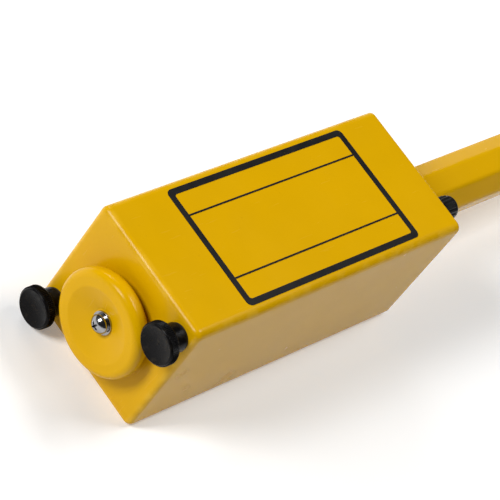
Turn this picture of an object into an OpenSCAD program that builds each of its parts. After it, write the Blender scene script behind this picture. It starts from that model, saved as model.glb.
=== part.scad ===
// Magnetic locator: a square electronics head with a slide-off cover, carrying a long
// octagonal sensor tube. X runs along the instrument towards the tube's tip, Z points out of
// the printed face, and the origin is the middle of the head's underside.

/* [Head] */
// Width and height of the square head
head_w = 76; // [74:0.5:80]
// Length of the cover along the instrument
cover_l = 184; // [180:1:206]
// Wall of the cover
cover_wall = 2.5; // [2:0.25:2.75]
// Rounding of the cover's four long edges
edge_r = 4; // [3.5:0.25:5]
// Rounding round the cover's closed end
end_edge_r = 3; // [1:0.5:3.5]
// Rounding round the cover's open end
rim_r = 1.2; // [0.6:0.1:1.8]
// Thickness of the plate that closes the head on the tube's side
plate_t = 4; // [3:0.5:6]
// Distance from the cover's rim in to that plate's face
plate_in = 0.5; // [0:0.25:1.5]
// Thickness of the gasket in the plate's edge
gasket_t = 1.6; // [1:0.1:2]
// Depth of the lip on that plate that the cover slides over
lip_l = 8; // [6:0.5:12]
// Wall of that lip
lip_t = 3; // [2.5:0.25:3.5]

/* [Label] */
// Length of the printed frame
label_l = 120; // [100:1:140]
// Width of the printed frame
label_w = 67; // [60:0.5:68]
// Width of the frame's black border
label_border = 3.25; // [2:0.25:5]
// Rounding of the border's outer corners
label_r = 3; // [1.5:0.25:4]
// Distance of the frame's middle from the head's middle, towards the tube
label_shift = 3.5; // [-6:0.5:6]
// Width of the two plain rules inside the frame
rule_w = 0.9; // [0.6:0.1:1.5]
// Distance of each rule from the border
rule_in = 12; // [8:0.5:16]

/* [Speaker baffle] */
// Diameter of the baffle disc
baffle_d = 52.5; // [50:0.5:60]
// Thickness of its rim
baffle_t = 9.5; // [8.5:0.5:11]
// Rounding of the rim's two outer edges
baffle_edge_r = 3.75; // [3:0.25:4.25]
// Rounding where the crest falls into the dish
dish_edge_r = 3; // [2:0.25:4]
// Radius at which the crest starts to fall into the dish
dish_r = 19; // [18:0.5:20.5]
// Sound gap between the rim and the cover's end
baffle_gap = 2.5; // [2:0.25:4]
// Depth of the dish in the disc
dish_depth = 4.75; // [4:0.25:7]
// Thickness of the dish's floor
dish_t = 2.5; // [2:0.25:3]
// Diameter of the flat seat in the middle of the dish
dish_seat_d = 13; // [12.5:0.5:16]
// Number of sound holes in the cover's end
sound_holes = 8; // [6:1:10]
// Diameter of each sound hole
sound_hole_d = 6; // [4:0.5:7]
// Radius of the ring of sound holes
sound_ring_r = 15; // [13:0.5:17]

/* [Baffle screw] */
// Thread diameter of the baffle screw
baffle_screw_d = 5; // [4:0.5:6]
// Diameter of its head
baffle_head_d = 9.5; // [8.5:0.5:11]
// Height of its head
baffle_head_h = 3.4; // [2.5:0.1:4]
// Diameter of its flat washer
washer_d = 11.5; // [10.5:0.5:12]
// Thickness of its flat washer
washer_t = 1; // [0.8:0.1:1.4]
// Thickness of its lock washer
lock_t = 1.2; // [0.8:0.1:1.6]
// Height of the threaded boss inside the cover's end
boss_h = 3; // [2:0.25:4]

/* [Thumb nuts] */
// Distance of each cover stud from the axis, sideways
stud_y = 29.25; // [28:0.25:30.5]
// Distance of each cover stud from the axis, up or down
stud_z = 27; // [26:0.25:27]
// Diameter of the studs
stud_d = 5; // [4:0.5:6]
// Diameter of the knurled head of a thumb nut
nut_d = 20.8; // [18:0.2:21.8]
// Thickness of that head
nut_head_t = 5.75; // [5:0.25:7]
// Depth of the dish in its face
nut_dish = 2; // [1:0.25:2.5]
// Diameter of the nut's hub
hub_d = 14; // [11:0.5:15]
// Length of the hub
hub_l = 6.6; // [5:0.1:8]
// Number of ridges round the nut
nut_ridges = 72; // [48:1:84]
// Thickness of the sealing washer under the nut
seal_t = 1.5; // [1:0.25:2]
// Length of stud inside the nut
stud_grip = 8.5; // [6:0.5:9]

/* [Speaker] */
// Diameter of the speaker
spk_d = 50; // [46:0.5:51]
// Depth of the speaker
spk_h = 19; // [17:0.5:20]
// Thickness of the plate that carries the speaker and the studs
spk_plate_t = 2; // [1.5:0.25:3]
// Thickness of the foam ring between that plate and the cover
foam_t = 3; // [2.5:0.25:4]

/* [Chassis] */
// Width of the chassis tray
tray_w = 48; // [46:0.5:48]
// Thickness of the chassis tray
tray_t = 1.6; // [1.2:0.1:2]
// Length of the circuit board's spacers
spacer_h = 8; // [6:0.5:9]
// Width of the circuit board
board_w = 58; // [54:0.5:60]
// Thickness of the circuit board
board_t = 1.6; // [1.2:0.1:2]

/* [Batteries] */
// Length of a 9 V battery without its terminals
bat_l = 46.4; // [46:0.1:47]
// Width of a battery
bat_w = 26.5; // [26:0.1:26.8]
// Height of a battery as it lies
bat_h = 17.5; // [17:0.1:17.8]
// Height of a battery's terminals
term_h = 2.4; // [2:0.1:2.8]
// Wall of the battery holder
holder_wall = 1.5; // [1.2:0.1:2]

/* [Controls] */
// Distance of each control from the axis, sideways
control_y = 20; // [19.5:0.25:21]
// Distance of each control from the axis, up or down
control_z = 23.5; // [23:0.25:24]
// Diameter of the controls' cans
pot_d = 14; // [13:0.5:14.5]
// Depth of the volume control's can, with its switch
volume_can_l = 13; // [10:0.5:14]
// Depth of the sensitivity switch's can
sensitivity_can_l = 9; // [8:0.5:11]
// Diameter of the controls' threaded bushes
bush_d = 8; // [7:0.5:8.5]
// Diameter of the controls' shafts
shaft_d = 5; // [4:0.25:5.5]
// Diameter of a control knob
knob_d = 13; // [12.5:0.25:15]
// Height of a control knob
knob_h = 17; // [12:0.5:18]
// Number of ribs round a knob
knob_ribs = 18; // [12:1:24]

/* [Sensor tube] */
// Width of the octagonal tube across its flats
tube_af = 28.6; // [27:0.1:29]
// Wall of the tube
tube_wall = 2; // [1.5:0.1:2.4]
// Rounding of the tube's eight edges
tube_edge_r = 1.5; // [0.8:0.1:2.5]
// Length of tube outside the head, with its cap
tube_l = 876; // [700:1:1000]
// Length of tube held inside the head
tube_in = 26; // [20:0.5:28]
// Turn of the tube's flats from the head's faces, in degrees
tube_turn = 10; // [0:1:22]
// Thickness of the cap on the tube's tip
cap_t = 6; // [4:0.5:10]
// Length of the cap's plug inside the tube
plug_l = 14; // [12:0.5:20]
// Length of the socket that holds the tube
socket_l = 30; // [29:0.5:32]
// Wall of that socket outside the tube's corners
socket_wall = 2.5; // [2:0.25:2.7]
// Thickness of the socket's flange
flange_t = 5; // [4:0.5:7]

/* [Sensors] */
// Distance between the middles of the two sensors
sensor_pitch = 508; // [400:1:560]
// Length of a sensor
sensor_l = 48; // [40:1:60]
// Diameter of a sensor
sensor_d = 9.4; // [8:0.2:10]
// Width of the channel that carries the sensors
carrier_w = 15; // [13.5:0.25:16]
// Height of that channel
carrier_h = 9; // [8:0.25:10]
// Wall of that channel
carrier_wall = 1.2; // [1:0.1:1.5]
// Thickness of each foam spacer in the tube
spacer_t = 10; // [8:0.5:16]
// Diameter of the sensor cable
cable_d = 3.6; // [3:0.1:4]
// Diameter of the thin leads
lead_d = 1.6; // [1.2:0.1:2]

/* [Clearances] */
// Gap between the cover and what it slides over
slip = 0.4; // [0.3:0.05:0.5]
// Gap between a stud and its hole in the cover
stud_gap = 0.3; // [0.2:0.05:0.5]
// Gap of the running and screwed fits, on the radius
run_gap = 0.05; // [0.02:0.01:0.08]
// Gap round parts that are bonded or dropped in
seat_gap = 0.2; // [0.1:0.05:0.3]

/* [Hidden] */
$fn = 72;

// Places along the instrument, from the closed end to the tube's tip
x_near = -cover_l / 2;
x_wall = x_near + cover_wall;
x_spk_plate = x_wall + foam_t;
x_spk = x_spk_plate + spk_plate_t;
x_far = x_near + cover_l;
x_face = x_far - plate_in;
x_plate = x_face - plate_t;
x_socket = x_plate - socket_l;
x_tip = x_far + tube_l;
x_tube_end = x_tip - cap_t;
z_mid = head_w / 2;

// Sections
inner_w = head_w - 2 * cover_wall;
inner_r = edge_r - cover_wall;
lip_w = inner_w - 2 * slip;
lip_r = max(inner_r - slip, 0.5);
tube_corner_r = tube_af / 2 / cos(22.5);
socket_r = tube_corner_r + seat_gap + socket_wall;

// M3 screws of the chassis
m3_r = 1.5;
m3_head_r = 2.6;
m3_head_h = 1.8;
m3_pitch_r = socket_r + m3_r + 0.5;
flange_r = m3_pitch_r + m3_r + 1.2;

// Tray, battery holder and board
z_tray = cover_wall + slip + lip_t;
z_deck = z_tray + tray_t;
ear_in = 12;
ear_top = z_mid - sqrt(pow(spk_d / 2, 2) - pow(ear_in, 2)) - 0.6;
z_ear_screw = (z_deck + ear_top) / 2;
y_ear_screw = (ear_in + tray_w / 2) / 2;
holder_in = 2 * (bat_w + 2 * seat_gap) + holder_wall;
holder_w = holder_in + 2 * holder_wall;
holder_floor = 2;
snap_t = 4;
term_pitch = 12.7;
term_d = 8.6;
holder_l = bat_l + snap_t + 2 * seat_gap + 2 * holder_wall + 1;
x_holder = x_spk + spk_h + 2;
x_bat = x_holder + holder_wall + seat_gap;
y_bat = (bat_w + 2 * seat_gap + holder_wall) / 2;
z_bat = z_deck + holder_floor;
x_board = x_holder + holder_l + 3;
board_l = x_socket - 2 - x_board;
z_board = z_deck + spacer_h;
z_board_top = z_board + board_t;
board_hole_in = 5;
y_spacer = tray_w / 2 - 5;
x_drop = x_board + board_l - board_hole_in - m3_head_r - 1.5 * lead_d;

// Controls on the end plate
knob_gap = 0.4;
control_nut_af = bush_d + 2;
control_nut_t = 2;
bush_proud = 1;

// Sensor carrier, measured from the tube's axis
tube_in_r = tube_af / 2 - tube_wall;
x_lower = x_tube_end - plug_l - 6 - sensor_l / 2;
x_upper = x_lower - sensor_pitch;
x_carrier = x_upper - sensor_l / 2 - 30;
carrier_l = x_tube_end - plug_l - 1 - x_carrier;
carrier_floor = -sensor_d / 2 - 0.1 - carrier_wall;
cable_drop = carrier_floor - cable_d / 2 - 0.3;
x_connector = x_socket - 10;
connector_h = 7;
y_connector = 0;

// Sets children down in the section at x: their x, y and z become Y, Z and X
module at_x(x) translate([x, 0, z_mid]) rotate([90, 0, 90]) children();

// Octagon set in or out from the tube's outside, with its corners rounded to match
module octagon(af) rotate(22.5 + tube_turn) {
    r = max(tube_edge_r + (af - tube_af) / 2, 0.4);
    corner = (af / 2 - r) / cos(22.5);
    polygon([for (i = [0 : 7], s = [-22.5, 22.5])
        [corner * cos(45 * i) + r * cos(45 * i + s), corner * sin(45 * i) + r * sin(45 * i + s)]]);
    for (i = [0 : 7]) rotate(45 * i) translate([corner, 0]) circle(r);
}

module rounded_rect(l, w, r) {
    square([l, w - 2 * r], center = true);
    square([l - 2 * r, w], center = true);
    for (sx = [-1, 1], sy = [-1, 1])
        translate([sx * (l / 2 - r), sy * (w / 2 - r)]) circle(r);
}

module rounded_square(w, r) rounded_rect(w, w, r);

// Side view of a bar with its lower edge rounded, from y = 0 up
module rounded_end(w, l, r) {
    translate([-w / 2 + r, 0]) square([w - 2 * r, l]);
    translate([-w / 2, r]) square([w, l - r]);
    for (s = [-1, 1]) translate([s * (w / 2 - r), r]) circle(r);
}

// Square bar with round long edges and a rounded edge round its end at z = 0
module rounded_bar(w, l, r, end_r) {
    slab = w - 2 * r;
    for (turn = [0, 90]) rotate(turn)
        translate([0, slab / 2, 0]) rotate([90, 0, 0]) linear_extrude(slab) rounded_end(w, l, end_r);
    for (sx = [-1, 1], sy = [-1, 1]) translate([sx * slab / 2, sy * slab / 2, 0])
        rotate_extrude() intersection() {
            rounded_end(2 * r, l, end_r);
            square([r, l]);
        }
}

module tube_at(r_out, r_in, h) difference() {
    cylinder(r = r_out, h = h);
    translate([0, 0, -1]) cylinder(r = r_in, h = h + 2);
}

// Copies at the two places on a diagonal of the section
module on_diagonal(y, z) for (s = [-1, 1]) translate([s * y, -s * z, 0]) children();

// Straight rod between two points, with a ball at its start
module rod(a, b, r) {
    d = b - a;
    len = norm(d);
    translate(a) sphere(r, $fn = 24);
    translate(a) rotate([0, acos(d[2] / len), atan2(d[1], d[0])]) cylinder(r = r, h = len, $fn = 24);
}

module lead(points, r) {
    for (i = [1 : len(points) - 1]) rod(points[i - 1], points[i], r);
}

// Pan head with a domed top, standing on z = 0, and a shank of length l below it
module pan_screw(shank_r, head_r, head_h, l) {
    dome_r = head_r * 0.35;
    translate([0, 0, -l]) cylinder(r = shank_r, h = l + 0.1);
    rotate_extrude() {
        square([head_r, head_h - dome_r]);
        square([head_r - dome_r, head_h]);
        translate([head_r - dome_r, head_h - dome_r]) intersection() {
            circle(dome_r);
            square(dome_r);
        }
    }
}

module slotted_screw(shank_r, head_r, head_h, l) difference() {
    pan_screw(shank_r, head_r, head_h, l);
    translate([-head_r, -head_r * 0.12, head_h * 0.55]) cube([2 * head_r, head_r * 0.24, head_h]);
}

// Round head with a cross recess, standing on z = 0, and a shank of length l below it
module cross_screw(shank_r, head_r, head_h, l) {
    dome_h = head_h * 0.8;
    ball = (pow(head_r, 2) + pow(dome_h, 2)) / (2 * dome_h);
    difference() {
        union() {
            translate([0, 0, -l]) cylinder(r = shank_r, h = l + 0.1);
            intersection() {
                cylinder(r = head_r, h = head_h);
                translate([0, 0, head_h - ball]) sphere(ball);
            }
        }
        for (a = [20, 110]) rotate(a) translate([-head_r * 0.45, -head_r * 0.1, head_h * 0.45])
            cube([head_r * 0.9, head_r * 0.2, head_h]);
    }
}

// Cover and what is fixed to it

module cover() color("goldenrod") difference() {
    union() {
        difference() {
            union() {
                at_x(x_near) rounded_bar(head_w, cover_l - 2 * rim_r, edge_r, end_edge_r);
                at_x(x_far) mirror([0, 0, 1]) rounded_bar(head_w, 3 * rim_r, edge_r, rim_r);
            }
            at_x(x_wall) linear_extrude(cover_l) rounded_square(inner_w, inner_r);
        }
        at_x(x_wall - 0.1) cylinder(d = baffle_screw_d + 6, h = boss_h * 0.8 + 0.1);
    }
    at_x(x_near - 1) cylinder(r = baffle_screw_d / 2 + run_gap, h = cover_wall + boss_h + 2);
    at_x(x_near - 1) on_diagonal(stud_y, stud_z) cylinder(r = stud_d / 2 + stud_gap, h = cover_wall + 2);
    at_x(x_near - 1) for (i = [0 : sound_holes - 1]) rotate((i + 0.5) * 360 / sound_holes)
        translate([sound_ring_r, 0, 0]) cylinder(d = sound_hole_d, h = cover_wall + 2);
}

// Printed border with two plain rules between its short sides
label_t = 0.2;
module label_frame() color("black") translate([label_shift, 0, head_w]) linear_extrude(label_t) {
    inner_l = label_l - 2 * label_border;
    inner_w = label_w - 2 * label_border;
    difference() {
        rounded_rect(label_l, label_w, label_r);
        rounded_rect(inner_l, inner_w, label_r / 2);
    }
    for (s = [-1, 1]) translate([0, s * (inner_w / 2 - rule_in)])
        square([inner_l + 0.2, rule_w], center = true);
}

z_seat = baffle_gap + baffle_t - dish_depth;
z_front = baffle_gap + baffle_t;
seat_r = dish_seat_d / 2;
shoulder_r = baffle_d / 2 - baffle_edge_r;

// The dish's wall leaves the seat's edge and meets the rounding of the crest where they touch
dish_run = dish_r - seat_r;
dish_rise = z_front - dish_edge_r - z_seat;
dish_reach = sqrt(pow(dish_run, 2) + pow(dish_rise, 2));
dish_slope = atan2(dish_rise, dish_run) + asin(dish_edge_r / dish_reach);
dish_wall = sqrt(pow(dish_reach, 2) - pow(dish_edge_r, 2));
dish_lip = [seat_r + dish_wall * cos(dish_slope), z_seat + dish_wall * sin(dish_slope)];

// Disc with round shoulders, a flat crest and a dish that falls to a flat seat, from the cover outwards
module baffle_disc() color("goldenrod") at_x(x_near) mirror([0, 0, 1]) difference() {
    rotate_extrude() {
        for (z = [baffle_gap + baffle_edge_r, z_front - baffle_edge_r])
            translate([shoulder_r, z]) circle(baffle_edge_r);
        translate([dish_r, z_front - dish_edge_r]) circle(dish_edge_r);
        translate([shoulder_r, baffle_gap + baffle_edge_r])
            square([baffle_edge_r, baffle_t - 2 * baffle_edge_r]);
        polygon([
            [0, z_seat - dish_t], [seat_r, z_seat - dish_t], [dish_r, baffle_gap], [shoulder_r, baffle_gap],
            [shoulder_r, z_front], [dish_r, z_front], [dish_r, z_front - dish_edge_r], dish_lip,
            [seat_r, z_seat], [0, z_seat]]);
    }
    cylinder(r = baffle_screw_d / 2 + run_gap, h = baffle_t + baffle_gap);
}

module baffle_spacer() color("goldenrod") at_x(x_near) mirror([0, 0, 1])
    tube_at(seat_r - 0.5, baffle_screw_d / 2 + run_gap, z_seat - dish_t);

module baffle_washers() color("silver") at_x(x_near - z_seat) mirror([0, 0, 1]) {
    tube_at(washer_d / 2, baffle_screw_d / 2 + run_gap, washer_t);
    translate([0, 0, washer_t]) difference() {
        tube_at(baffle_head_d / 2 - 0.3, baffle_screw_d / 2 + run_gap, lock_t);
        translate([0, -0.4, -1]) cube([baffle_head_d, 0.8, lock_t + 2]);
    }
}

module baffle_screw() color("silver") at_x(x_near - z_seat - washer_t - lock_t) mirror([0, 0, 1])
    cross_screw(baffle_screw_d / 2, baffle_head_d / 2, baffle_head_h,
        z_seat + washer_t + lock_t + cover_wall + boss_h * 0.8);

// Sealing washers under the thumb nuts
module nut_seals() color("dimgray") at_x(x_near) mirror([0, 0, 1]) on_diagonal(stud_y, stud_z)
    tube_at(hub_d / 2 - 0.5, stud_d / 2 + stud_gap, seal_t);

// Knurled nut on its side of the diagonal, closed in front, with a round dish in its face
module thumb_nut(s) color([0.12, 0.12, 0.12]) at_x(x_near - seal_t)
    translate([s * stud_y, -s * stud_z, 0]) mirror([0, 0, 1]) {
    round_r = 1;
    ridge = 0.4;
    head_r = nut_d / 2;
    core_r = head_r - ridge - 0.2;
    top = hub_l + nut_head_t;
    dish_edge = head_r - 1.2;
    dish_ball = (pow(dish_edge, 2) + pow(nut_dish, 2)) / (2 * nut_dish);
    difference() {
        union() {
            cylinder(d = hub_d, h = hub_l + 0.1);
            translate([0, 0, hub_l]) rotate_extrude() {
                square([core_r - round_r, nut_head_t]);
                translate([0, round_r]) square([core_r, nut_head_t - 2 * round_r]);
                for (y = [round_r, nut_head_t - round_r]) translate([core_r - round_r, y]) circle(round_r);
            }
            translate([0, 0, hub_l + round_r]) linear_extrude(nut_head_t - 2 * round_r)
                polygon([for (i = [0 : 2 * nut_ridges - 1])
                    let (a = i * 180 / nut_ridges, r = head_r - (i % 2) * ridge) [r * cos(a), r * sin(a)]]);
        }
        translate([0, 0, -1]) cylinder(r = stud_d / 2 + run_gap, h = stud_grip + 2);
        translate([0, 0, top - nut_dish + dish_ball]) sphere(dish_ball);
    }
}

// Speaker end of the chassis

module cover_studs() color("khaki") on_studs_back() {
    cylinder(d = stud_d, h = stud_back() + stud_grip);
    cylinder(d = stud_d + 4, h = 2);
}

// Studs run from behind the speaker plate outwards, through the cover's end
function stud_back() = 2 + spk_plate_t + foam_t + cover_wall + seal_t;
module on_studs_back() at_x(x_spk + 2) mirror([0, 0, 1]) on_diagonal(stud_y, stud_z) children();

module speaker_foam() color("dimgray") at_x(x_wall)
    tube_at(spk_d / 2 + 1, spk_d / 2 - 2.5, foam_t);

spk_screw_r = spk_d / 2 + m3_r + 0.5;
module on_speaker_screws() for (a = [45 : 90 : 315]) rotate(a) translate([spk_screw_r, 0, 0]) children();
module on_ear_screws() for (s = [-1, 1]) translate([s * y_ear_screw, z_ear_screw - z_mid, 0]) children();

module speaker_plate() color("silver") at_x(x_spk_plate) difference() {
    linear_extrude(spk_plate_t) rounded_square(lip_w, lip_r);
    translate([0, 0, -1]) {
        cylinder(d = spk_d - 5, h = spk_plate_t + 2);
        on_diagonal(stud_y, stud_z) cylinder(r = stud_d / 2 + run_gap, h = spk_plate_t + 2);
        on_speaker_screws() cylinder(r = m3_r + run_gap, h = spk_plate_t + 2);
        on_ear_screws() cylinder(r = m3_r + run_gap, h = spk_plate_t + 2);
    }
}

basket_l = spk_h - 8;
basket_r = spk_d / 2 - 3;
neck_r = 13;
module speaker_frame() color("gray") at_x(x_spk) difference() {
    rotate_extrude() {
        translate([basket_r - 1, 0]) square([spk_d / 2 - basket_r + 1, 1.4]);
        polygon([[basket_r - 1, 0], [basket_r, 0], [neck_r + 1, basket_l], [neck_r - 1, basket_l],
            [neck_r - 1, basket_l - 1.2], [neck_r, basket_l - 1.2]]);
        translate([6, basket_l - 1.2]) square([neck_r - 6, 1.2]);
    }
    for (a = [0 : 60 : 300]) rotate(a) translate([neck_r + 2, -3, basket_l - 8]) cube([4, 6, 4.5]);
}

module speaker_cone() color("dimgray") at_x(x_spk) rotate_extrude() {
    rim = basket_r - 2.4;
    polygon([[rim - 0.4, 0.4], [rim, 0.6], [6.2, basket_l - 3], [5, basket_l - 3], [5, basket_l - 3.6]]);
    polygon([[0, basket_l - 5.2], [3, basket_l - 4.9], [5.6, basket_l - 3.4], [5, basket_l - 3],
        [3, basket_l - 4.3], [0, basket_l - 4.6]]);
    translate([5, basket_l - 3.4]) square([0.5, 4.5]);
}

magnet_d = 32;
module speaker_magnet() color("dimgray") at_x(x_spk + basket_l) {
    difference() {
        cylinder(d = magnet_d, h = spk_h - basket_l);
        translate([0, 0, -1]) cylinder(r = 6, h = 5);
    }
    translate([0, 0, -0.9]) cylinder(r = 4.5, h = 5);
}

module speaker_screws() color("silver") at_x(x_spk + 1.4) on_speaker_screws()
    pan_screw(m3_r, m3_head_r, m3_head_h, spk_plate_t + 1.4);

// Bent sheet that ties the two ends together, with an ear each side of the speaker
module chassis_tray() color("gainsboro") difference() {
    union() {
        translate([x_spk, -tray_w / 2, z_tray]) cube([x_plate - 0.5 - x_spk, tray_w, tray_t]);
        for (s = [-1, 1]) translate([x_spk, s > 0 ? ear_in : -tray_w / 2, z_tray])
            cube([tray_t, tray_w / 2 - ear_in, ear_top - z_tray]);
    }
    at_x(x_spk - 1) on_ear_screws() cylinder(r = m3_r + run_gap, h = tray_t + 2);
    translate([x_plate - volume_can_l - 2, control_y - pot_d / 2 - 1, z_tray - 1])
        cube([volume_can_l + 3, tray_w, tray_t + 2]);
    on_tray_screws() translate([0, 0, -1]) cylinder(r = m3_r + run_gap, h = tray_t + 2);
    on_board_spacers() translate([0, 0, z_tray - 1]) cylinder(r = m3_r + run_gap, h = tray_t + 2);
}

module on_tray_screws() for (y = [-tray_w / 2 + 6, control_y - pot_d / 2 - 8])
    translate([x_plate - lip_l / 2, y, z_tray]) children();

// Screws of the tray: two down into the end plate's lip, two through the ears
module tray_screws() color("silver") {
    on_tray_screws() translate([0, 0, tray_t]) pan_screw(m3_r, m3_head_r, m3_head_h, tray_t + lip_t);
    at_x(x_spk_plate) mirror([0, 0, 1]) on_ear_screws()
        pan_screw(m3_r, m3_head_r, m3_head_h, spk_plate_t + tray_t);
}

module battery_holder() color([0.15, 0.15, 0.15]) translate([x_holder, -holder_w / 2, z_deck])
    difference() {
        cube([holder_l, holder_w, holder_floor + bat_h * 0.6]);
        for (i = [0, 1])
            translate([holder_wall, holder_wall + i * (bat_w + 2 * seat_gap + holder_wall), holder_floor])
                cube([holder_l - 2 * holder_wall, bat_w + 2 * seat_gap, bat_h]);
    }

module battery(s) translate([x_bat, s * y_bat, z_bat + bat_h / 2]) {
    color("dimgray") translate([0, -bat_w / 2, -bat_h / 2]) cube([bat_l, bat_w, bat_h]);
    color("silver") for (t = [-1, 1]) translate([bat_l - 0.1, t * term_pitch / 2, 0]) rotate([0, 90, 0])
        cylinder(d = t > 0 ? term_d - 1.6 : term_d, h = term_h + 0.1, $fn = t > 0 ? 48 : 6);
}

x_snap = x_bat + bat_l + seat_gap;
snap_w = 25;
snap_h = 12;
module battery_snap(s) color("black") translate([x_snap, s * y_bat, z_bat + bat_h / 2]) difference() {
    translate([0, -snap_w / 2, -snap_h / 2]) cube([snap_t, snap_w, snap_h]);
    for (t = [-1, 1]) translate([-1, t * term_pitch / 2, 0]) rotate([0, 90, 0])
        cylinder(d = term_d + 0.4, h = term_h + 1.2);
}

// Each lead leaves the back of its snap above the holder's wall
module battery_leads() for (s = [-1, 1]) color(s > 0 ? "red" : "black") {
    y = s * min(y_bat, y_spacer - m3_head_r - lead_d);
    z = z_bat + bat_h / 2 + snap_h / 2 - lead_d - 0.4;
    lead([[x_snap + snap_t + lead_d / 2 + run_gap, y, z], [x_board + 4, y, z],
        [x_board + 4, y, z_board_top + 0.01]], lead_d / 2);
}

module on_board_spacers() for (x = [x_board + board_hole_in, x_socket - 2 - board_hole_in], s = [-1, 1])
    translate([x, s * y_spacer, 0]) children();

module circuit_board() color("darkgreen") difference() {
    translate([x_board, -board_w / 2, z_board]) cube([board_l, board_w, board_t]);
    on_board_spacers() translate([0, 0, z_board - 1]) cylinder(r = m3_r + run_gap, h = board_t + 2);
}

module board_spacers() color("gold") on_board_spacers() translate([0, 0, z_deck]) difference() {
    cylinder(r = 3, h = spacer_h, $fn = 6);
    translate([0, 0, -1]) cylinder(r = m3_r + run_gap, h = spacer_h + 2);
}

module board_screws() color("silver") on_board_spacers() {
    translate([0, 0, z_board_top]) pan_screw(m3_r, m3_head_r, m3_head_h, board_t + spacer_h / 2 - 0.5);
    translate([0, 0, z_tray - 0.01]) mirror([0, 0, 1])
        pan_screw(m3_r, m3_head_r, m3_head_h * 0.6, tray_t + spacer_h / 2 - 1);
}

// Chips, capacitors, coils and the two connectors on the board
module board_parts() translate([0, 0, z_board_top]) {
    chip = [19, 6.4, 3.4];
    color([0.1, 0.1, 0.1]) for (i = [0 : 2])
        translate([x_board + board_l * 0.34, -16 + i * 11, 0.4]) cube(chip);
    color("silver") for (i = [0 : 2], k = [0 : 6], s = [0, 1])
        translate([x_board + board_l * 0.34 + 1.5 + k * 2.54, -16.6 + i * 11 + s * 7, 0]) cube([0.6, 0.6, 3]);
    x_caps = x_board + board_l * 0.16;
    color("steelblue") for (p = [[x_caps, 9], [x_caps, -9], [x_drop - 9, 17]])
        translate([p[0], p[1], 0]) cylinder(d = 8, h = 12);
    color("tan") for (k = [0 : 5]) translate([x_board + board_l * 0.36 + k * 3.4, -25, 1.4])
        rotate([-90, 0, 0]) cylinder(d = 2.2, h = 6);
    color("white") translate([x_connector - 4, y_connector - 7, 0]) cube([8, 14, connector_h]);
    color("royalblue") translate([x_board + board_l * 0.36, 18.5, 0]) cube([9.5, 5, 10]);
    color("white") translate([x_drop - lead_d - 8, -25, 0]) cube([5.5, 8, 6]);
}

module speaker_leads() color("firebrick") {
    y = -holder_w / 2 - lead_d;
    z = z_bat + bat_h * 0.5;
    lead([[x_spk + spk_h - 4, -magnet_d / 2 - lead_d / 2 - 0.2, z_mid], [x_spk + spk_h - 4, y, z_mid],
        [x_spk + spk_h - 4, y, z], [x_board + 8, y, z], [x_board + 8, -board_w / 2 + 2, z],
        [x_board + 8, -board_w / 2 + 2, z_board_top + 0.01]], lead_d / 2);
}

module control_leads() color("slategray") for (s = [-1, 1]) {
    y = s * control_y;
    can = s > 0 ? volume_can_l : sensitivity_can_l;
    z_can = z_mid - s * control_z;
    z_over = s > 0 ? z_board_top + 5 : z_can - 6;
    x_out = x_plate - volume_can_l - 6;
    lead([[x_plate - can - 0.2 - lead_d / 2, y, z_can], [x_out, y, z_can], [x_out, y, z_over],
        [x_drop, y, z_over], [x_drop, y, z_board_top + 0.01]], lead_d / 2);
}

// Tube end of the head

// Gasket in a groove round the end plate's edge, against the inside of the cover
groove_depth = 1.5;
x_gasket = x_plate + (plate_t - gasket_t) / 2;
module cover_gasket() color([0.2, 0.2, 0.2]) at_x(x_gasket) linear_extrude(gasket_t) difference() {
    rounded_square(inner_w - 2 * run_gap, inner_r);
    rounded_square(lip_w - 2 * groove_depth + 2 * run_gap, lip_r);
}

module on_socket_screws() for (a = [0 : 90 : 270]) rotate(a) translate([m3_pitch_r, 0, 0]) children();

module end_plate() color("goldenrod") difference() {
    union() {
        at_x(x_plate) linear_extrude(plate_t) rounded_square(lip_w, lip_r);
        at_x(x_plate - lip_l) linear_extrude(lip_l + 0.1) difference() {
            rounded_square(lip_w, lip_r);
            square(lip_w - 2 * lip_t, center = true);
        }
    }
    at_x(x_gasket - run_gap) linear_extrude(gasket_t + 2 * run_gap) difference() {
        square(head_w, center = true);
        rounded_square(lip_w - 2 * groove_depth, lip_r);
    }
    at_x(x_plate - 1) {
        linear_extrude(plate_t + 2) octagon(tube_af + 2 * seat_gap);
        on_socket_screws() cylinder(r = m3_r + run_gap, h = plate_t + 2);
        on_diagonal(control_y, control_z) cylinder(r = bush_d / 2 + run_gap, h = plate_t + 2);
    }
    on_tray_screws() translate([0, 0, -lip_t - 0.5]) cylinder(r = m3_r + run_gap, h = lip_t + 1);
}

module tube_socket() color("gray") at_x(x_socket) difference() {
    union() {
        cylinder(r = socket_r, h = socket_l);
        translate([0, 0, socket_l - flange_t]) cylinder(r = flange_r, h = flange_t);
    }
    translate([0, 0, socket_l - tube_in]) linear_extrude(tube_in + 1) octagon(tube_af + 2 * seat_gap);
    translate([0, 0, -1]) cylinder(r = tube_in_r - 0.8, h = socket_l);
    translate([0, 0, socket_l - flange_t - 1]) on_socket_screws()
        cylinder(r = m3_r + run_gap, h = flange_t + 2);
}

module socket_screws() color("silver") at_x(x_face) on_socket_screws()
    slotted_screw(m3_r, m3_head_r, m3_head_h, plate_t + flange_t);

module tube_seal() color([0.15, 0.15, 0.15]) at_x(x_face) difference() {
    cylinder(r = m3_pitch_r - m3_head_r - 0.2, h = 2.5);
    translate([0, 0, -1]) linear_extrude(5) octagon(tube_af + 2 * run_gap);
}

// Can, bush and locating face of a control; s picks its side of the diagonal
module control_body(s, can_l) at_x(x_plate) translate([s * control_y, -s * control_z, 0]) {
    bush_l = plate_t + control_nut_t + bush_proud;
    difference() {
        union() {
            translate([0, 0, -can_l]) cylinder(d = pot_d, h = can_l);
            cylinder(d = bush_d, h = bush_l);
        }
        translate([0, 0, -6]) cylinder(r = shaft_d / 2 + run_gap, h = bush_l + 7);
    }
}

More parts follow.
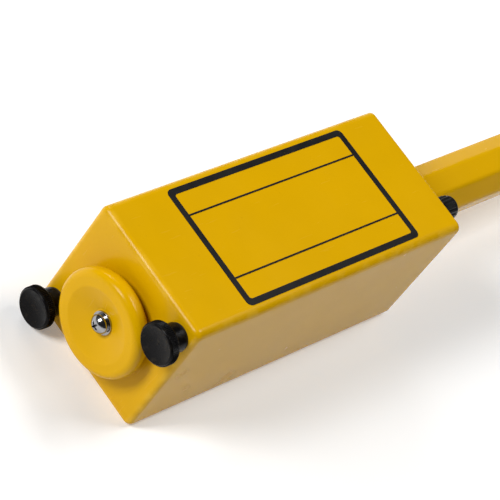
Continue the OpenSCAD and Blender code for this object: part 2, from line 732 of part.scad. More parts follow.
module volume_control() color("silver") control_body(1, volume_can_l);
module sensitivity_switch() color("silver") control_body(-1, sensitivity_can_l);

// Turning shaft, from inside the can to inside the knob
module control_shaft(s) color("gainsboro") at_x(x_plate - 5.5)
    translate([s * control_y, -s * control_z, 0])
    cylinder(d = shaft_d, h = 5.5 + plate_t + control_nut_t + knob_gap + knob_h - 2.5);

module volume_shaft() control_shaft(1);
module sensitivity_shaft() control_shaft(-1);

module control_nuts() color("silver") at_x(x_face) on_diagonal(control_y, control_z) difference() {
    cylinder(r = control_nut_af / 2 / cos(30), h = control_nut_t, $fn = 6);
    translate([0, 0, -1]) cylinder(r = bush_d / 2 + run_gap, h = control_nut_t + 2);
}

// Ribbed knob that stands on the control's nut, with a pointer line on its front
module control_knob(s) color([0.1, 0.1, 0.1]) at_x(x_face + control_nut_t + knob_gap)
    translate([s * control_y, -s * control_z, 0]) {
    rib = 0.6;
    round_r = 1;
    core_r = knob_d / 2 - rib;
    difference() {
        union() {
            rotate_extrude() {
                square([core_r - round_r, knob_h]);
                square([core_r, knob_h - round_r]);
                translate([core_r - round_r, knob_h - round_r]) circle(round_r);
            }
            for (i = [0 : knob_ribs - 1]) rotate(i * 360 / knob_ribs)
                translate([core_r - 0.1, 0, 0]) cylinder(r = rib + 0.1, h = knob_h - 2.5, $fn = 24);
        }
        translate([0, 0, -1]) cylinder(r = bush_d / 2 + knob_gap, h = bush_proud + 1.2);
        translate([0, 0, -1]) cylinder(r = shaft_d / 2 + run_gap, h = knob_h - 1.5);
        translate([1.5, -0.4, knob_h - 0.4]) cube([core_r, 0.8, 1]);
    }
}

module volume_knob() control_knob(1);
module sensitivity_knob() control_knob(-1);

// Sensor tube and what it holds

module on_cap_screw() at_x(x_tube_end - plug_l / 2) rotate(tube_turn) rotate([-90, 0, 0]) children();

module sensor_tube() color("goldenrod") difference() {
    at_x(x_plate - tube_in) linear_extrude(x_tube_end - x_plate + tube_in) difference() {
        octagon(tube_af);
        octagon(tube_af - 2 * tube_wall);
    }
    on_cap_screw() translate([0, 0, tube_in_r - 1]) cylinder(r = m3_r + run_gap, h = tube_wall + 2);
}

cap_screw_l = 8;
module tube_cap() color([0.12, 0.12, 0.12]) difference() {
    at_x(x_tube_end) {
        linear_extrude(cap_t - 1.5) octagon(tube_af);
        translate([0, 0, cap_t - 1.6]) linear_extrude(1.6) octagon(tube_af - 3);
        translate([0, 0, -plug_l]) linear_extrude(plug_l + 0.1) octagon(tube_af - 2 * (tube_wall + seat_gap));
    }
    on_cap_screw() translate([0, 0, tube_af / 2 - cap_screw_l - 0.5])
        cylinder(r = m3_r + run_gap, h = cap_screw_l + 1);
}

// One screw through a flat of the tube into the cap's plug
module cap_screw() color("silver") on_cap_screw() translate([0, 0, tube_af / 2])
    pan_screw(m3_r, m3_head_r, m3_head_h * 0.7, cap_screw_l);

module sensor_carrier() color("silver") difference() {
    translate([x_carrier, -carrier_w / 2, z_mid + carrier_floor]) cube([carrier_l, carrier_w, carrier_h]);
    translate([x_carrier - 1, -carrier_w / 2 + carrier_wall, z_mid + carrier_floor + carrier_wall])
        cube([carrier_l + 2, carrier_w - 2 * carrier_wall, carrier_h]);
    for (x = [x_upper, x_lower]) translate([x - sensor_l / 2 - 6, 0, z_mid + carrier_floor - 1])
        cylinder(d = cable_d + 1, h = carrier_wall + 2);
}

// Wound core between two end cheeks
module sensor(x) at_x(x - sensor_l / 2) {
    color("gray") cylinder(d = sensor_d, h = 2.5);
    color("peru") translate([0, 0, 2]) cylinder(d = sensor_d - 1.4, h = sensor_l - 4);
    color("gray") translate([0, 0, sensor_l - 2.5]) cylinder(d = sensor_d, h = 2.5);
}

module upper_sensor() sensor(x_upper);
module lower_sensor() sensor(x_lower);

module sensor_spacers() color("dimgray") for (i = [0 : 4])
    translate([x_carrier + 14 + i * (carrier_l - 28 - spacer_t) / 4, 0, z_mid]) difference() {
        rotate([90, 0, 90]) cylinder(r = tube_in_r - seat_gap, h = spacer_t);
        translate([-1, 0, 0]) rotate([0, 90, 0]) cylinder(d = sensor_d + 2 * seat_gap, h = spacer_t + 2);
        translate([-1, -carrier_w / 2 - seat_gap, carrier_floor - seat_gap])
            cube([spacer_t + 2, carrier_w + 2 * seat_gap, carrier_h + 2 * seat_gap]);
        translate([-1, 0, cable_drop]) rotate([0, 90, 0])
            cylinder(d = cable_d + 2 * seat_gap, h = spacer_t + 2);
        translate([-1, -cable_d / 2, cable_drop]) cube([spacer_t + 2, cable_d, -cable_drop]);
    }

// One cable along the channel's floor, with a branch up to each sensor
module sensor_cable() color([0.2, 0.2, 0.2]) {
    z_run = z_mid + cable_drop;
    x_end = x_lower - sensor_l / 2;
    z_plug = z_board_top + connector_h + cable_d / 2 + 0.01;
    x_upper_end = x_upper - sensor_l / 2;
    lead([[x_connector, y_connector, z_plug], [x_connector, y_connector, z_run], [x_end - 6, 0, z_run],
        [x_end - 6, 0, z_mid], [x_end - 0.05, 0, z_mid]], cable_d / 2);
    lead([[x_upper_end - 6, 0, z_run], [x_upper_end - 6, 0, z_mid], [x_upper_end - 0.05, 0, z_mid]],
        cable_d / 2);
}

cover();
label_frame();
baffle_disc();
baffle_spacer();
baffle_washers();
baffle_screw();
thumb_nut(-1);  // thumb_nut_upper
thumb_nut(1);  // thumb_nut_lower
nut_seals();
cover_studs();
speaker_foam();
speaker_plate();
speaker_frame();
speaker_cone();
speaker_magnet();
speaker_screws();
chassis_tray();
tray_screws();
battery_holder();
battery(1);  // battery_left
battery(-1);  // battery_right
battery_snap(1);  // battery_snap_left
battery_snap(-1);  // battery_snap_right
battery_leads();
circuit_board();
board_parts();
board_spacers();
board_screws();
speaker_leads();
control_leads();
cover_gasket();
end_plate();
tube_socket();
socket_screws();
tube_seal();
volume_control();
volume_shaft();
volume_knob();
sensitivity_switch();
sensitivity_shaft();
sensitivity_knob();
control_nuts();
sensor_tube();
tube_cap();
cap_screw();
sensor_carrier();
upper_sensor();
lower_sensor();
sensor_spacers();
sensor_cable();
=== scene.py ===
import math

import bmesh
import bpy
from mathutils import Matrix, Vector


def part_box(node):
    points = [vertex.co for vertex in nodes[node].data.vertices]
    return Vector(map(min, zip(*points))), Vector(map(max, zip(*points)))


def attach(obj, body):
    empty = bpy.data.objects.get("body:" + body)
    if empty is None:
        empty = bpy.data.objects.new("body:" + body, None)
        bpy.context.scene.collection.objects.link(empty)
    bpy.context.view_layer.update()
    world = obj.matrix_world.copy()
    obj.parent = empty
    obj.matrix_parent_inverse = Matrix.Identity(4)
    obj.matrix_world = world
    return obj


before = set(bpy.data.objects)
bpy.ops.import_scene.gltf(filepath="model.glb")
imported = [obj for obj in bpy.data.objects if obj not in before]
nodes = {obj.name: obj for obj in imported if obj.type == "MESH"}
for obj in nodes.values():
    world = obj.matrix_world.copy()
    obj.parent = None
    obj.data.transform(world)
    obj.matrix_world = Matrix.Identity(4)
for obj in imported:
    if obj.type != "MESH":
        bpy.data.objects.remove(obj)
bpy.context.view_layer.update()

scene = bpy.context.scene

# Camera at the photograph's angle
LOOK = Vector((0.68093, 0.26617, -0.68226))
UP = Vector((0.26796, 0.77646, 0.57036))
EYE = Vector((-0.77817, -0.29865, 0.82054))
LENS = 172.8

# The head's closed end, half its width and the end plate's outer face, in metres
HEAD_END_X = -0.092
HEAD_HALF = 0.038
PLATE_FACE_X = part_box("end_plate")[1][0]

# Where the circuit board's parts start, as shares of its length
CAPACITORS_AT = 0.16
CHIPS_AT = 0.34
SMALL_PARTS_AT = 0.36

# Sizes of the circuit board's parts, in metres
BOARD_LEAD_IN = 0.010
CHIP_PITCH = 0.011
CHIP_ROW_START = -0.0166
PIN_ROWS = ((0.0, 0.00055), (0.00705, 0.0077))
CAN_HALF = 0.0045
CAN_TOP = 0.0118
CAN_STRIPE_HALF = 0.0012
FIRST_BAND = -0.0240
BAND_PITCH = 0.0012
BAND_WIDE = 0.0005

# The battery's jacket along its length, in metres
BATTERY_TERMINALS = 0.0024
BATTERY_DARK_END = 0.030
BATTERY_SEAM = 0.0008

# The pointer painted in a knob's groove, from the knob's middle and front, in metres
POINTER_START = 0.0014
POINTER_END = 0.0060
POINTER_HALF = 0.0005
POINTER_FLOOR = 0.0006
POINTER_TOP = 0.0002

# Printed marks round the knobs, in metres
MARK_START = 0.0082
MARK_END = 0.0098
LONG_MARK_END = 0.0104
MARK_THICK = 0.0001
MARK_WIDE = 0.0006


def make_camera():
    back = -LOOK.normalized()
    right = UP.cross(back).normalized()
    up = back.cross(right)
    turn = Matrix((right, up, back)).transposed()
    data = bpy.data.cameras.new("camera")
    data.lens = LENS
    data.sensor_width = 36
    data.clip_start = 0.01
    data.clip_end = 50
    camera = bpy.data.objects.new("camera", data)
    camera.matrix_world = Matrix.Translation(EYE) @ turn.to_4x4()
    scene.collection.objects.link(camera)
    scene.camera = camera


make_camera()


# Floor and lights

FLOOR_HALF = 14
FLOOR_DROP = 0.0002
FLOOR_COLOUR = (0.86, 0.86, 0.86, 1)
FLOOR_GLOW = 0.21
SKY = 0.03
AIM = (0.03, 0, 0.04)

# Each light's place, its width and height in metres, and its power in watts
LIGHTS = {
    "key": ((-1.88, 0.84, 1.52), (0.70, 1.05), 51),
    "top": ((0.98, -0.28, 2.16), (0.9, 0.7), 30),
    "back": ((0.9, 2.6, 1.8), (1.4, 1.0), 26),
}


def bare_material(name):
    mat = bpy.data.materials.new(name)
    mat.use_nodes = True
    mat.node_tree.nodes.clear()
    return mat


def make_floor():
    mesh = bpy.data.meshes.new("floor")
    half = FLOOR_HALF
    corners = [(-half, -half, 0), (half, -half, 0), (half, half, 0), (-half, half, 0)]
    mesh.from_pydata(corners, [], [(0, 1, 2, 3)])
    floor = bpy.data.objects.new("floor", mesh)
    floor.location.z = -FLOOR_DROP
    scene.collection.objects.link(floor)
    mat = bare_material("floor")
    tree = mat.node_tree
    out = tree.nodes.new("ShaderNodeOutputMaterial")
    surface = tree.nodes.new("ShaderNodeBsdfPrincipled")
    surface.inputs["Base Color"].default_value = FLOOR_COLOUR
    surface.inputs["Roughness"].default_value = 0.9
    surface.inputs["Specular IOR Level"].default_value = 0.1
    surface.inputs["Emission Color"].default_value = (1, 1, 1, 1)
    surface.inputs["Emission Strength"].default_value = FLOOR_GLOW
    tree.links.new(surface.outputs[0], out.inputs[0])
    mesh.materials.append(mat)


def area_light(name, place, size, power):
    data = bpy.data.lights.new(name, "AREA")
    data.shape = "RECTANGLE"
    data.size, data.size_y = size
    data.energy = power
    light = bpy.data.objects.new(name, data)
    light.location = place
    light.rotation_mode = "QUATERNION"
    light.rotation_quaternion = (Vector(AIM) - Vector(place)).to_track_quat("-Z", "Y")
    scene.collection.objects.link(light)


def make_light():
    world = bpy.data.worlds.new("studio")
    world.use_nodes = True
    sky = world.node_tree.nodes["Background"]
    sky.inputs["Color"].default_value = (1, 1, 1, 1)
    sky.inputs["Strength"].default_value = SKY
    scene.world = world
    for name, (place, size, power) in LIGHTS.items():
        area_light(name, place, size, power)
    scene.view_settings.view_transform = "Standard"
    scene.view_settings.look = "None"
    scene.view_settings.exposure = 0
    scene.view_settings.gamma = 1


make_floor()
make_light()


# Materials

class Finish:
    """A material built round one Principled shader, from noise in the object's own metres."""

    def __init__(self, name, colour, rough, metal=0.0, spec=0.5, ior=1.5, soft=0.0):
        self.mat = bare_material(name)
        self.tree = self.mat.node_tree
        self.place = self.add("ShaderNodeTexCoord").outputs["Object"]
        self.surface = self.add("ShaderNodeBsdfPrincipled")
        self.link(self.surface.outputs[0], self.add("ShaderNodeOutputMaterial").inputs[0])
        self.colour = (*colour, 1)
        self.rough = rough
        self.metal = metal
        self.normal = None
        self.surface.inputs["Specular IOR Level"].default_value = spec
        self.surface.inputs["IOR"].default_value = ior
        if soft:
            edge = self.add("ShaderNodeBevel")
            edge.samples = 4
            edge.inputs["Radius"].default_value = soft
            self.normal = edge.outputs[0]

    def add(self, kind):
        return self.tree.nodes.new(kind)

    def link(self, a, b):
        self.tree.links.new(a, b)

    def put(self, value, socket):
        if isinstance(value, (int, float, tuple)):
            socket.default_value = value
        else:
            self.link(value, socket)

    def stretched(self, stretch):
        if not stretch:
            return self.place
        mapping = self.add("ShaderNodeMapping")
        mapping.inputs["Scale"].default_value = stretch
        self.link(self.place, mapping.inputs["Vector"])
        return mapping.outputs[0]

    def noise(self, scale, detail=3.0, stretch=None):
        tex = self.add("ShaderNodeTexNoise")
        tex.inputs["Scale"].default_value = scale
        tex.inputs["Detail"].default_value = detail
        self.link(self.stretched(stretch), tex.inputs["Vector"])
        return tex.outputs["Fac"]

    def grid(self, scale):
        """The distance from the nearest point of an even grid."""
        tex = self.add("ShaderNodeTexVoronoi")
        tex.inputs["Scale"].default_value = scale
        tex.inputs["Randomness"].default_value = 0
        self.link(self.place, tex.inputs["Vector"])
        return tex.outputs["Distance"]

    def math(self, kind, a, b=0.0):
        node = self.add("ShaderNodeMath")
        node.operation = kind
        self.put(a, node.inputs[0])
        self.put(b, node.inputs[1])
        return node.outputs[0]

    def times(self, a, b):
        return self.math("MULTIPLY", a, b)

    def span(self, value, low, high, to_low=0.0, to_high=1.0):
        node = self.add("ShaderNodeMapRange")
        node.interpolation_type = "SMOOTHSTEP"
        self.put(value, node.inputs["Value"])
        self.put(low, node.inputs["From Min"])
        self.put(high, node.inputs["From Max"])
        self.put(to_low, node.inputs["To Min"])
        self.put(to_high, node.inputs["To Max"])
        return node.outputs["Result"]

    def axes(self):
        node = self.add("ShaderNodeSeparateXYZ")
        self.link(self.place, node.inputs[0])
        return node.outputs

    def within(self, value, low, high):
        """One between low and high."""
        blur = 0.00005
        above = self.span(value, low - blur, low + blur)
        below = self.span(value, high - blur, high + blur, 1.0, 0.0)
        return self.times(above, below)

    def inside(self, low, high):
        """One inside a box; None leaves an axis free."""
        share = 1.0
        for axis, a, b in zip(self.axes(), low, high):
            if a is not None:
                share = self.times(self.within(axis, a, b), share)
        return share

    def paint(self, share, colour, rough=None, metal=None):
        """Lays a colour, and where given a gloss and a metal, over what is there."""
        node = self.add("ShaderNodeMix")
        node.data_type = "RGBA"
        self.put(share, node.inputs[0])
        self.put(self.colour, node.inputs[6])
        self.put((*colour, 1), node.inputs[7])
        self.colour = node.outputs[2]
        if rough is not None:
            self.rough = self.blend(share, self.rough, rough)
        if metal is not None:
            self.metal = self.blend(share, self.metal, metal)

    def blend(self, share, a, b):
        node = self.add("ShaderNodeMix")
        self.put(share, node.inputs[0])
        self.put(a, node.inputs[2])
        self.put(b, node.inputs[3])
        return node.outputs[0]

    def mottle(self, scale, amount, stretch=None):
        """Makes the colour lighter and darker in patches."""
        patch = self.noise(scale, 3, stretch)
        node = self.add("ShaderNodeHueSaturation")
        self.put(self.span(patch, 0.3, 0.7, 1 - amount, 1 + amount), node.inputs["Value"])
        self.put(self.colour, node.inputs["Color"])
        self.colour = node.outputs[0]

    def uneven(self, scale, amount, stretch=None):
        """Makes the gloss uneven in patches."""
        patch = self.span(self.noise(scale, 4, stretch), 0.3, 0.7, -amount, amount)
        self.rough = self.math("ADD", patch, self.rough)

    def bump(self, height, depth):
        """depth is the height in metres of a change of one."""
        node = self.add("ShaderNodeBump")
        node.inputs["Distance"].default_value = depth
        self.link(height, node.inputs["Height"])
        if self.normal is not None:
            self.link(self.normal, node.inputs["Normal"])
        self.normal = node.outputs[0]

    def done(self):
        self.put(self.colour, self.surface.inputs["Base Color"])
        self.put(self.rough, self.surface.inputs["Roughness"])
        self.put(self.metal, self.surface.inputs["Metallic"])
        if self.normal is not None:
            self.link(self.normal, self.surface.inputs["Normal"])
        return self.mat


YELLOW = (0.66, 0.362, 0.0)
PALE_YELLOW = (0.80, 0.50, 0.05)
BLACK = (0.0035, 0.0032, 0.0034)
LEAD_BLACK = (0.012, 0.012, 0.013)
LEAD_RED = (0.42, 0.02, 0.015)
LEAD_GREY = (0.16, 0.17, 0.18)
LEAD_YELLOW = (0.55, 0.40, 0.03)
BATTERY_BAND = (0.60, 0.26, 0.07)


def head_edges(f, width):
    """One on the head's long edges and round its closed end."""
    x, y, z = f.axes()
    side = f.math("ABSOLUTE", y)
    up = f.math("ABSOLUTE", f.math("SUBTRACT", z, HEAD_HALF))
    low = f.math("MINIMUM", side, up)
    high = f.math("MAXIMUM", side, up)
    limit = HEAD_HALF - width * 0.25
    near = f.span(x, HEAD_END_X + width, HEAD_END_X)
    long_edge = f.span(low, HEAD_HALF - width, limit)
    end_edge = f.times(near, f.span(high, HEAD_HALF - width, limit))
    return f.math("MAXIMUM", long_edge, end_edge)


def enamel(name, edges=False, soft=0.0004, ior=1.21):
    """Glossy enamel: orange peel, hazy patches, specks and scuffs; where asked, lighter edges
    that are partly worn paint and partly a painted highlight.
    """
    f = Finish(name, YELLOW, 0.23, spec=0.5, ior=ior, soft=soft)
    f.mottle(9, 0.02)
    f.mottle(70, 0.010)
    f.uneven(25, 0.03)
    specks = f.span(f.noise(420, 2), 0.70, 0.76)
    f.paint(f.times(specks, 0.16), (0.42, 0.21, 0.002))
    if edges:
        # Lighter edges in patches: partly worn paint, partly a painted highlight along the edges
        worn_and_highlit = f.times(head_edges(f, 0.004), f.span(f.noise(140, 4), 0.42, 0.62))
        f.paint(f.times(worn_and_highlit, 0.35), PALE_YELLOW)
    scuffs = f.span(f.noise(60, 5, (1, 9, 1)), 0.66, 0.72)
    f.rough = f.math("ADD", f.times(scuffs, 0.08), f.rough)
    f.bump(f.noise(380, 2), 0.000005)
    f.bump(f.noise(95, 2), 0.000009)
    return f.done()


def plain(name, colour, rough, metal=0.0, spec=0.5, patch=(60, 0.05), grain=(900, 0.00002),
          vary=(120, 0.06), soft=0.0003, stretch=None, dust=None):
    """Patches, grain and uneven gloss for the common materials."""
    f = Finish(name, colour, rough, metal, spec, soft=soft)
    f.mottle(*patch, stretch)
    f.uneven(*vary, stretch)
    if dust:
        f.paint(f.times(f.span(f.noise(210, 4), 0.5, 0.75), dust[1]), dust[0])
    f.bump(f.noise(grain[0], 3, stretch), grain[1])
    return f.done()


def printed(name):
    """Screen-printed black, a little thin in places."""
    f = Finish(name, BLACK, 0.45, spec=0.25, soft=0.00005)
    f.mottle(70, 0.25)
    f.uneven(160, 0.06)
    f.paint(f.times(f.span(f.noise(900, 3), 0.66, 0.78), 0.35), (0.09, 0.055, 0.004))
    f.bump(f.noise(1500, 2), 0.000004)
    return f.done()


def chrome(name):
    """Plated metal, faintly uneven, with a little grime."""
    f = Finish(name, (0.36, 0.36, 0.37), 0.17, 1.0, soft=0.00025)
    f.mottle(300, 0.06)
    f.uneven(260, 0.05)
    f.paint(f.times(f.span(f.noise(500, 4), 0.60, 0.76), 0.35), (0.13, 0.11, 0.08), rough=0.35)
    f.bump(f.noise(700, 2), 0.000006)
    return f.done()


def nut_black(name):
    """Satin black with a little lint."""
    f = Finish(name, BLACK, 0.28, spec=0.10, soft=0.0002)
    f.mottle(150, 0.25)
    f.uneven(240, 0.07)
    f.paint(f.times(f.span(f.noise(260, 5), 0.56, 0.74), 0.30), (0.045, 0.035, 0.022))
    f.bump(f.noise(1600, 3), 0.000010)
    return f.done()


def knob_black(name, node):
    """Black plastic with the pointer's groove filled in white."""
    low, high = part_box(node)
    y, z = (low[1] + high[1]) / 2, (low[2] + high[2]) / 2
    f = Finish(name, (0.006, 0.006, 0.0065), 0.34, spec=0.3, soft=0.0002)
    f.mottle(150, 0.2)
    f.uneven(240, 0.06)
    front = high[0]
    pointer = f.inside((front - POINTER_FLOOR, y + POINTER_START, z - POINTER_HALF),
                       (front - POINTER_TOP, y + POINTER_END, z + POINTER_HALF))
    f.paint(pointer, (0.75, 0.74, 0.70), rough=0.5)
    f.bump(f.noise(1600, 3), 0.000008)
    return f.done()


def battery(name, node):
    """Printed metal jacket with a plain band, bare terminals at one end."""
    low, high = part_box(node)
    dark_end = low[0] + BATTERY_DARK_END
    seam_end = low[0] + BATTERY_SEAM
    jacket_end = high[0] - BATTERY_TERMINALS
    f = Finish(name, (0.012, 0.013, 0.016), 0.28, soft=0.0006)
    f.mottle(60, 0.1)
    x = f.axes()[0]
    f.paint(f.within(x, dark_end, jacket_end), BATTERY_BAND, rough=0.24, metal=0.75)
    stripe = f.within(x, dark_end - 0.0012, dark_end - 0.0004)
    f.paint(stripe, (0.75, 0.75, 0.75), rough=0.3, metal=0.8)
    seam = f.span(x, seam_end + 0.0002, seam_end - 0.0002)
    f.paint(seam, (0.55, 0.56, 0.58), rough=0.35, metal=1.0)
    terminals = f.span(x, jacket_end - 0.0002, jacket_end)
    f.paint(terminals, (0.60, 0.60, 0.60), rough=0.32, metal=1.0)
    f.uneven(200, 0.025)
    f.bump(f.noise(500, 2), 0.000008)
    return f.done()


def circuit_board(name):
    """Green solder mask over thin traces, with rows of tinned pads."""
    low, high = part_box("circuit_board")
    f = Finish(name, (0.010, 0.075, 0.030), 0.32, soft=0.0002)
    f.mottle(50, 0.10)
    brick = f.add("ShaderNodeTexBrick")
    brick.inputs["Scale"].default_value = 55
    brick.inputs["Mortar Size"].default_value = 0.022
    brick.inputs["Brick Width"].default_value = 0.9
    brick.inputs["Row Height"].default_value = 0.10
    f.link(f.place, brick.inputs["Vector"])
    traces = f.times(brick.outputs["Fac"], f.span(f.noise(70, 1), 0.42, 0.50))
    f.paint(traces, (0.035, 0.17, 0.06), rough=0.26)
    pads = f.times(f.span(f.grid(394), 0.30, 0.24), f.span(f.noise(55, 1), 0.52, 0.56))
    f.paint(pads, (0.62, 0.60, 0.56), rough=0.28, metal=1.0)
    z = f.axes()[2]
    rim = f.within(z, low[2] + 0.0001, high[2] - 0.0001)
    f.paint(f.times(rim, 0.8), (0.14, 0.15, 0.07), rough=0.7)
    f.bump(traces, 0.00003)
    return f.done()


def board_parts(name):
    """Chips, capacitors, resistors and connectors, each in its own colour by its place."""
    low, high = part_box("circuit_board")
    start, top = low[0], high[2]
    length = high[0] - start
    drop = high[0] - BOARD_LEAD_IN
    f = Finish(name, (0.016, 0.016, 0.017), 0.42, soft=0.0002)
    f.mottle(150, 0.15)
    x, y, z = f.axes()

    def block(x_from, x_to, y_from, y_to):
        return f.inside((x_from, y_from, None), (x_to, y_to, None))

    chips = start + length * CHIPS_AT
    row = f.math("FLOORED_MODULO", f.math("ADD", y, -CHIP_ROW_START), CHIP_PITCH)
    pins = f.math("MAXIMUM", f.within(row, *PIN_ROWS[0]), f.within(row, *PIN_ROWS[1]))
    pins = f.times(pins, block(chips + 0.0012, chips + 0.0178, -0.020, 0.014))
    f.paint(pins, (0.62, 0.62, 0.60), rough=0.3, metal=1.0)

    pair = start + length * CAPACITORS_AT
    for cx, cy in ((pair, 0.009), (pair, -0.009), (drop - 0.009, 0.017)):
        can = block(cx - CAN_HALF, cx + CAN_HALF, cy - CAN_HALF, cy + CAN_HALF)
        f.paint(can, (0.012, 0.022, 0.075), rough=0.3)
        stripe = f.times(can, f.within(y, cy - CAN_STRIPE_HALF, cy + CAN_STRIPE_HALF))
        f.paint(f.times(stripe, f.span(x, cx, cx - 0.002)), (0.45, 0.47, 0.50))
        lid = f.span(z, top + CAN_TOP - 0.0001, top + CAN_TOP + 0.0001)
        f.paint(f.times(can, lid), (0.6, 0.6, 0.6), rough=0.3, metal=1.0)

    small = start + length * SMALL_PARTS_AT
    resistors = block(small - 0.0015, small + 0.0185, -0.0255, -0.0185)
    f.paint(resistors, (0.50, 0.34, 0.17), rough=0.5)
    bands = ((0.30, 0.03, 0.02), (0.02, 0.02, 0.16), (0.35, 0.14, 0.02), (0.45, 0.30, 0.06))
    for k, colour in enumerate(bands):
        band_y = FIRST_BAND + k * BAND_PITCH
        band = f.times(resistors, f.within(y, band_y, band_y + BAND_WIDE))
        f.paint(band, colour)

    trimmer = block(small - 0.0002, small + 0.0097, 0.0182, 0.0237)
    f.paint(trimmer, (0.02, 0.07, 0.32), rough=0.35)
    plug_x = high[0] - 0.008
    plug = block(plug_x - 0.0042, plug_x + 0.0042, -0.0072, 0.0072)
    f.paint(plug, (0.72, 0.69, 0.60), rough=0.5)
    small_plug_x = drop - 0.0096
    small_plug = block(small_plug_x - 0.0002, small_plug_x + 0.0057, -0.0252, -0.0168)
    f.paint(small_plug, (0.70, 0.67, 0.58), rough=0.5)
    f.uneven(200, 0.05)
    f.bump(f.noise(1200, 3), 0.000015)
    return f.done()


def sensor(name, node):
    """Enamelled wire wound between two grey end cheeks."""
    low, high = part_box(node)
    f = Finish(name, (0.42, 0.15, 0.05), 0.30, 0.85, soft=0.0002)
    f.mottle(300, 0.12)
    wave = f.add("ShaderNodeTexWave")
    wave.inputs["Scale"].default_value = 480
    f.link(f.place, wave.inputs["Vector"])
    f.bump(wave.outputs["Fac"], 0.00006)
    x = f.axes()[0]
    cheeks = f.math("MAXIMUM", f.span(x, low[0] + 0.0026, low[0] + 0.0024),
                    f.span(x, high[0] - 0.0026, high[0] - 0.0024))
    f.paint(cheeks, (0.12, 0.12, 0.125), rough=0.5, metal=0.0)
    return f.done()


def two_leads(name, right, left):
    """Insulated leads, one colour each side of the middle."""
    f = Finish(name, right, 0.4, soft=0.0001)
    f.paint(f.span(f.axes()[1], -0.001, 0.001), left)
    f.mottle(300, 0.1)
    f.bump(f.noise(1500, 2), 0.00001)
    return f.done()


MATERIALS = {
    "cover": enamel("yellow_cover", edges=True, soft=0.0010, ior=1.25),
    "disc": enamel("yellow_disc"),
    "plate": enamel("yellow_plate"),
    "tube": enamel("yellow_tube", soft=0.0030),
    "print": printed("black_print"),
    "chrome": chrome("chrome"),
    "nut": nut_black("black_nut"),
    "volume_knob": knob_black("black_knob_volume", "volume_knob"),
    "sensitivity_knob": knob_black("black_knob_sensitivity", "sensitivity_knob"),
    "dull": plain("dull_plastic", (0.018, 0.018, 0.020), 0.55, patch=(90, 0.2),
                  grain=(1300, 0.00003), dust=((0.09, 0.085, 0.08), 0.18)),
    "rubber": plain("black_rubber", (0.022, 0.021, 0.020), 0.75, spec=0.3, patch=(80, 0.2),
                    grain=(1100, 0.00004), dust=((0.12, 0.11, 0.10), 0.3)),
    "foam": plain("grey_foam", (0.055, 0.055, 0.058), 0.95, spec=0.15, patch=(240, 0.25),
                  grain=(1500, 0.00025), soft=0.0005),
    "brass": plain("brass", (0.72, 0.50, 0.20), 0.28, metal=1, patch=(90, 0.1), vary=(200, 0.1),
                   grain=(900, 0.00001)),
    "aluminium": plain("aluminium", (0.66, 0.67, 0.68), 0.36, metal=1, patch=(60, 0.06),
                       vary=(90, 0.1), grain=(500, 0.000012), stretch=(0.06, 1, 1)),
    "steel": plain("zinc_steel", (0.58, 0.60, 0.62), 0.30, metal=1, patch=(140, 0.1),
                   vary=(160, 0.1), grain=(900, 0.000012)),
    "paper": plain("speaker_paper", (0.020, 0.019, 0.018), 0.85, spec=0.2, patch=(300, 0.3),
                   grain=(1800, 0.00006)),
    "ferrite": plain("dark_ferrite", (0.045, 0.045, 0.048), 0.6, patch=(200, 0.25),
                     grain=(1400, 0.00005)),
    "left_cell": battery("battery_jacket_left", "battery_left"),
    "right_cell": battery("battery_jacket_right", "battery_right"),
    "board": circuit_board("green_board"),
    "parts": board_parts("board_components"),
    "battery_leads": two_leads("battery_lead_jackets", LEAD_BLACK, LEAD_RED),
    "speaker_leads": plain("red_lead", LEAD_RED, 0.4, patch=(300, 0.1), grain=(1500, 0.00001)),
    "control_leads": two_leads("control_lead_jackets", LEAD_GREY, LEAD_YELLOW),
    "upper_sensor": sensor("copper_winding_upper", "upper_sensor"),
    "lower_sensor": sensor("copper_winding_lower", "lower_sensor"),
}

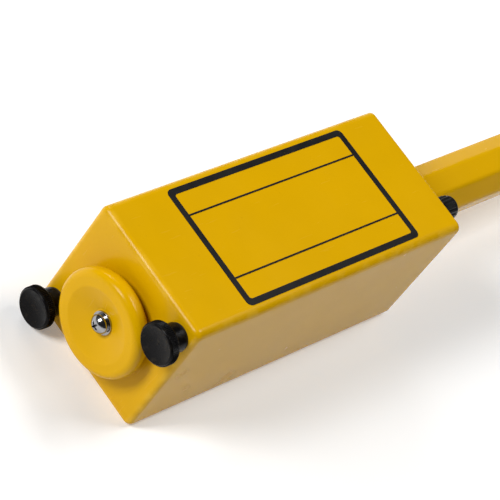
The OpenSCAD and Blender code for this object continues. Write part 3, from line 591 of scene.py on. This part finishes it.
FINISH_OF = {
    "cover": "cover", "label_frame": "print", "baffle_disc": "disc", "baffle_spacer": "disc",
    "baffle_washers": "chrome", "baffle_screw": "chrome",
    "thumb_nut_upper": "nut", "thumb_nut_lower": "nut", "nut_seals": "rubber",
    "cover_studs": "brass", "cover_gasket": "rubber", "end_plate": "plate",
    "speaker_foam": "foam", "speaker_plate": "aluminium", "speaker_frame": "steel",
    "speaker_cone": "paper", "speaker_magnet": "ferrite", "speaker_screws": "steel",
    "speaker_leads": "speaker_leads",
    "chassis_tray": "aluminium", "tray_screws": "steel", "battery_holder": "dull",
    "battery_left": "left_cell", "battery_right": "right_cell",
    "battery_snap_left": "dull", "battery_snap_right": "dull", "battery_leads": "battery_leads",
    "circuit_board": "board", "board_parts": "parts", "board_spacers": "brass",
    "board_screws": "steel", "control_leads": "control_leads",
    "volume_control": "steel", "volume_shaft": "aluminium", "volume_knob": "volume_knob",
    "sensitivity_switch": "steel", "sensitivity_shaft": "aluminium",
    "sensitivity_knob": "sensitivity_knob", "control_nuts": "steel",
    "tube_socket": "aluminium", "socket_screws": "steel", "tube_seal": "rubber",
    "sensor_tube": "tube", "tube_cap": "dull", "cap_screw": "steel",
    "sensor_carrier": "aluminium", "upper_sensor": "upper_sensor", "lower_sensor": "lower_sensor",
    "sensor_spacers": "foam", "sensor_cable": "rubber",
}

for name, node in nodes.items():
    for place in node.material_slots:
        place.material = MATERIALS[FINISH_OF[name]]


# Added pieces

def add_piece(name, mesh, body, finish):
    piece = bpy.data.objects.new(name, mesh)
    scene.collection.objects.link(piece)
    mesh.materials.append(MATERIALS[finish])
    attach(piece, body)
    return piece


def dial_marks(name, knob, angles):
    """Printed marks round a knob on the end plate, longer at both ends."""
    low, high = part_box(knob)
    y, z = (low[1] + high[1]) / 2, (low[2] + high[2]) / 2
    knob_middle = Vector((PLATE_FACE_X + MARK_THICK / 2, y, z))
    bm = bmesh.new()
    for angle in angles:
        outer = LONG_MARK_END if angle in (angles[0], angles[-1]) else MARK_END
        turn = Matrix.Rotation(math.radians(angle), 4, "X")
        mark_middle = turn @ Vector((0, 0, (MARK_START + outer) / 2))
        place = Matrix.Translation(knob_middle + mark_middle) @ turn
        size = Matrix.Diagonal((MARK_THICK, MARK_WIDE, outer - MARK_START, 1))
        bmesh.ops.create_cube(bm, size=1, matrix=place @ size)
    mesh = bpy.data.meshes.new(name)
    bm.to_mesh(mesh)
    bm.free()
    return add_piece(name, mesh, "chassis", "print")


dial_marks("volume_marks", "volume_knob", range(-90, 211, 30))
dial_marks("sensitivity_marks", "sensitivity_knob", range(-90, 1, 30))
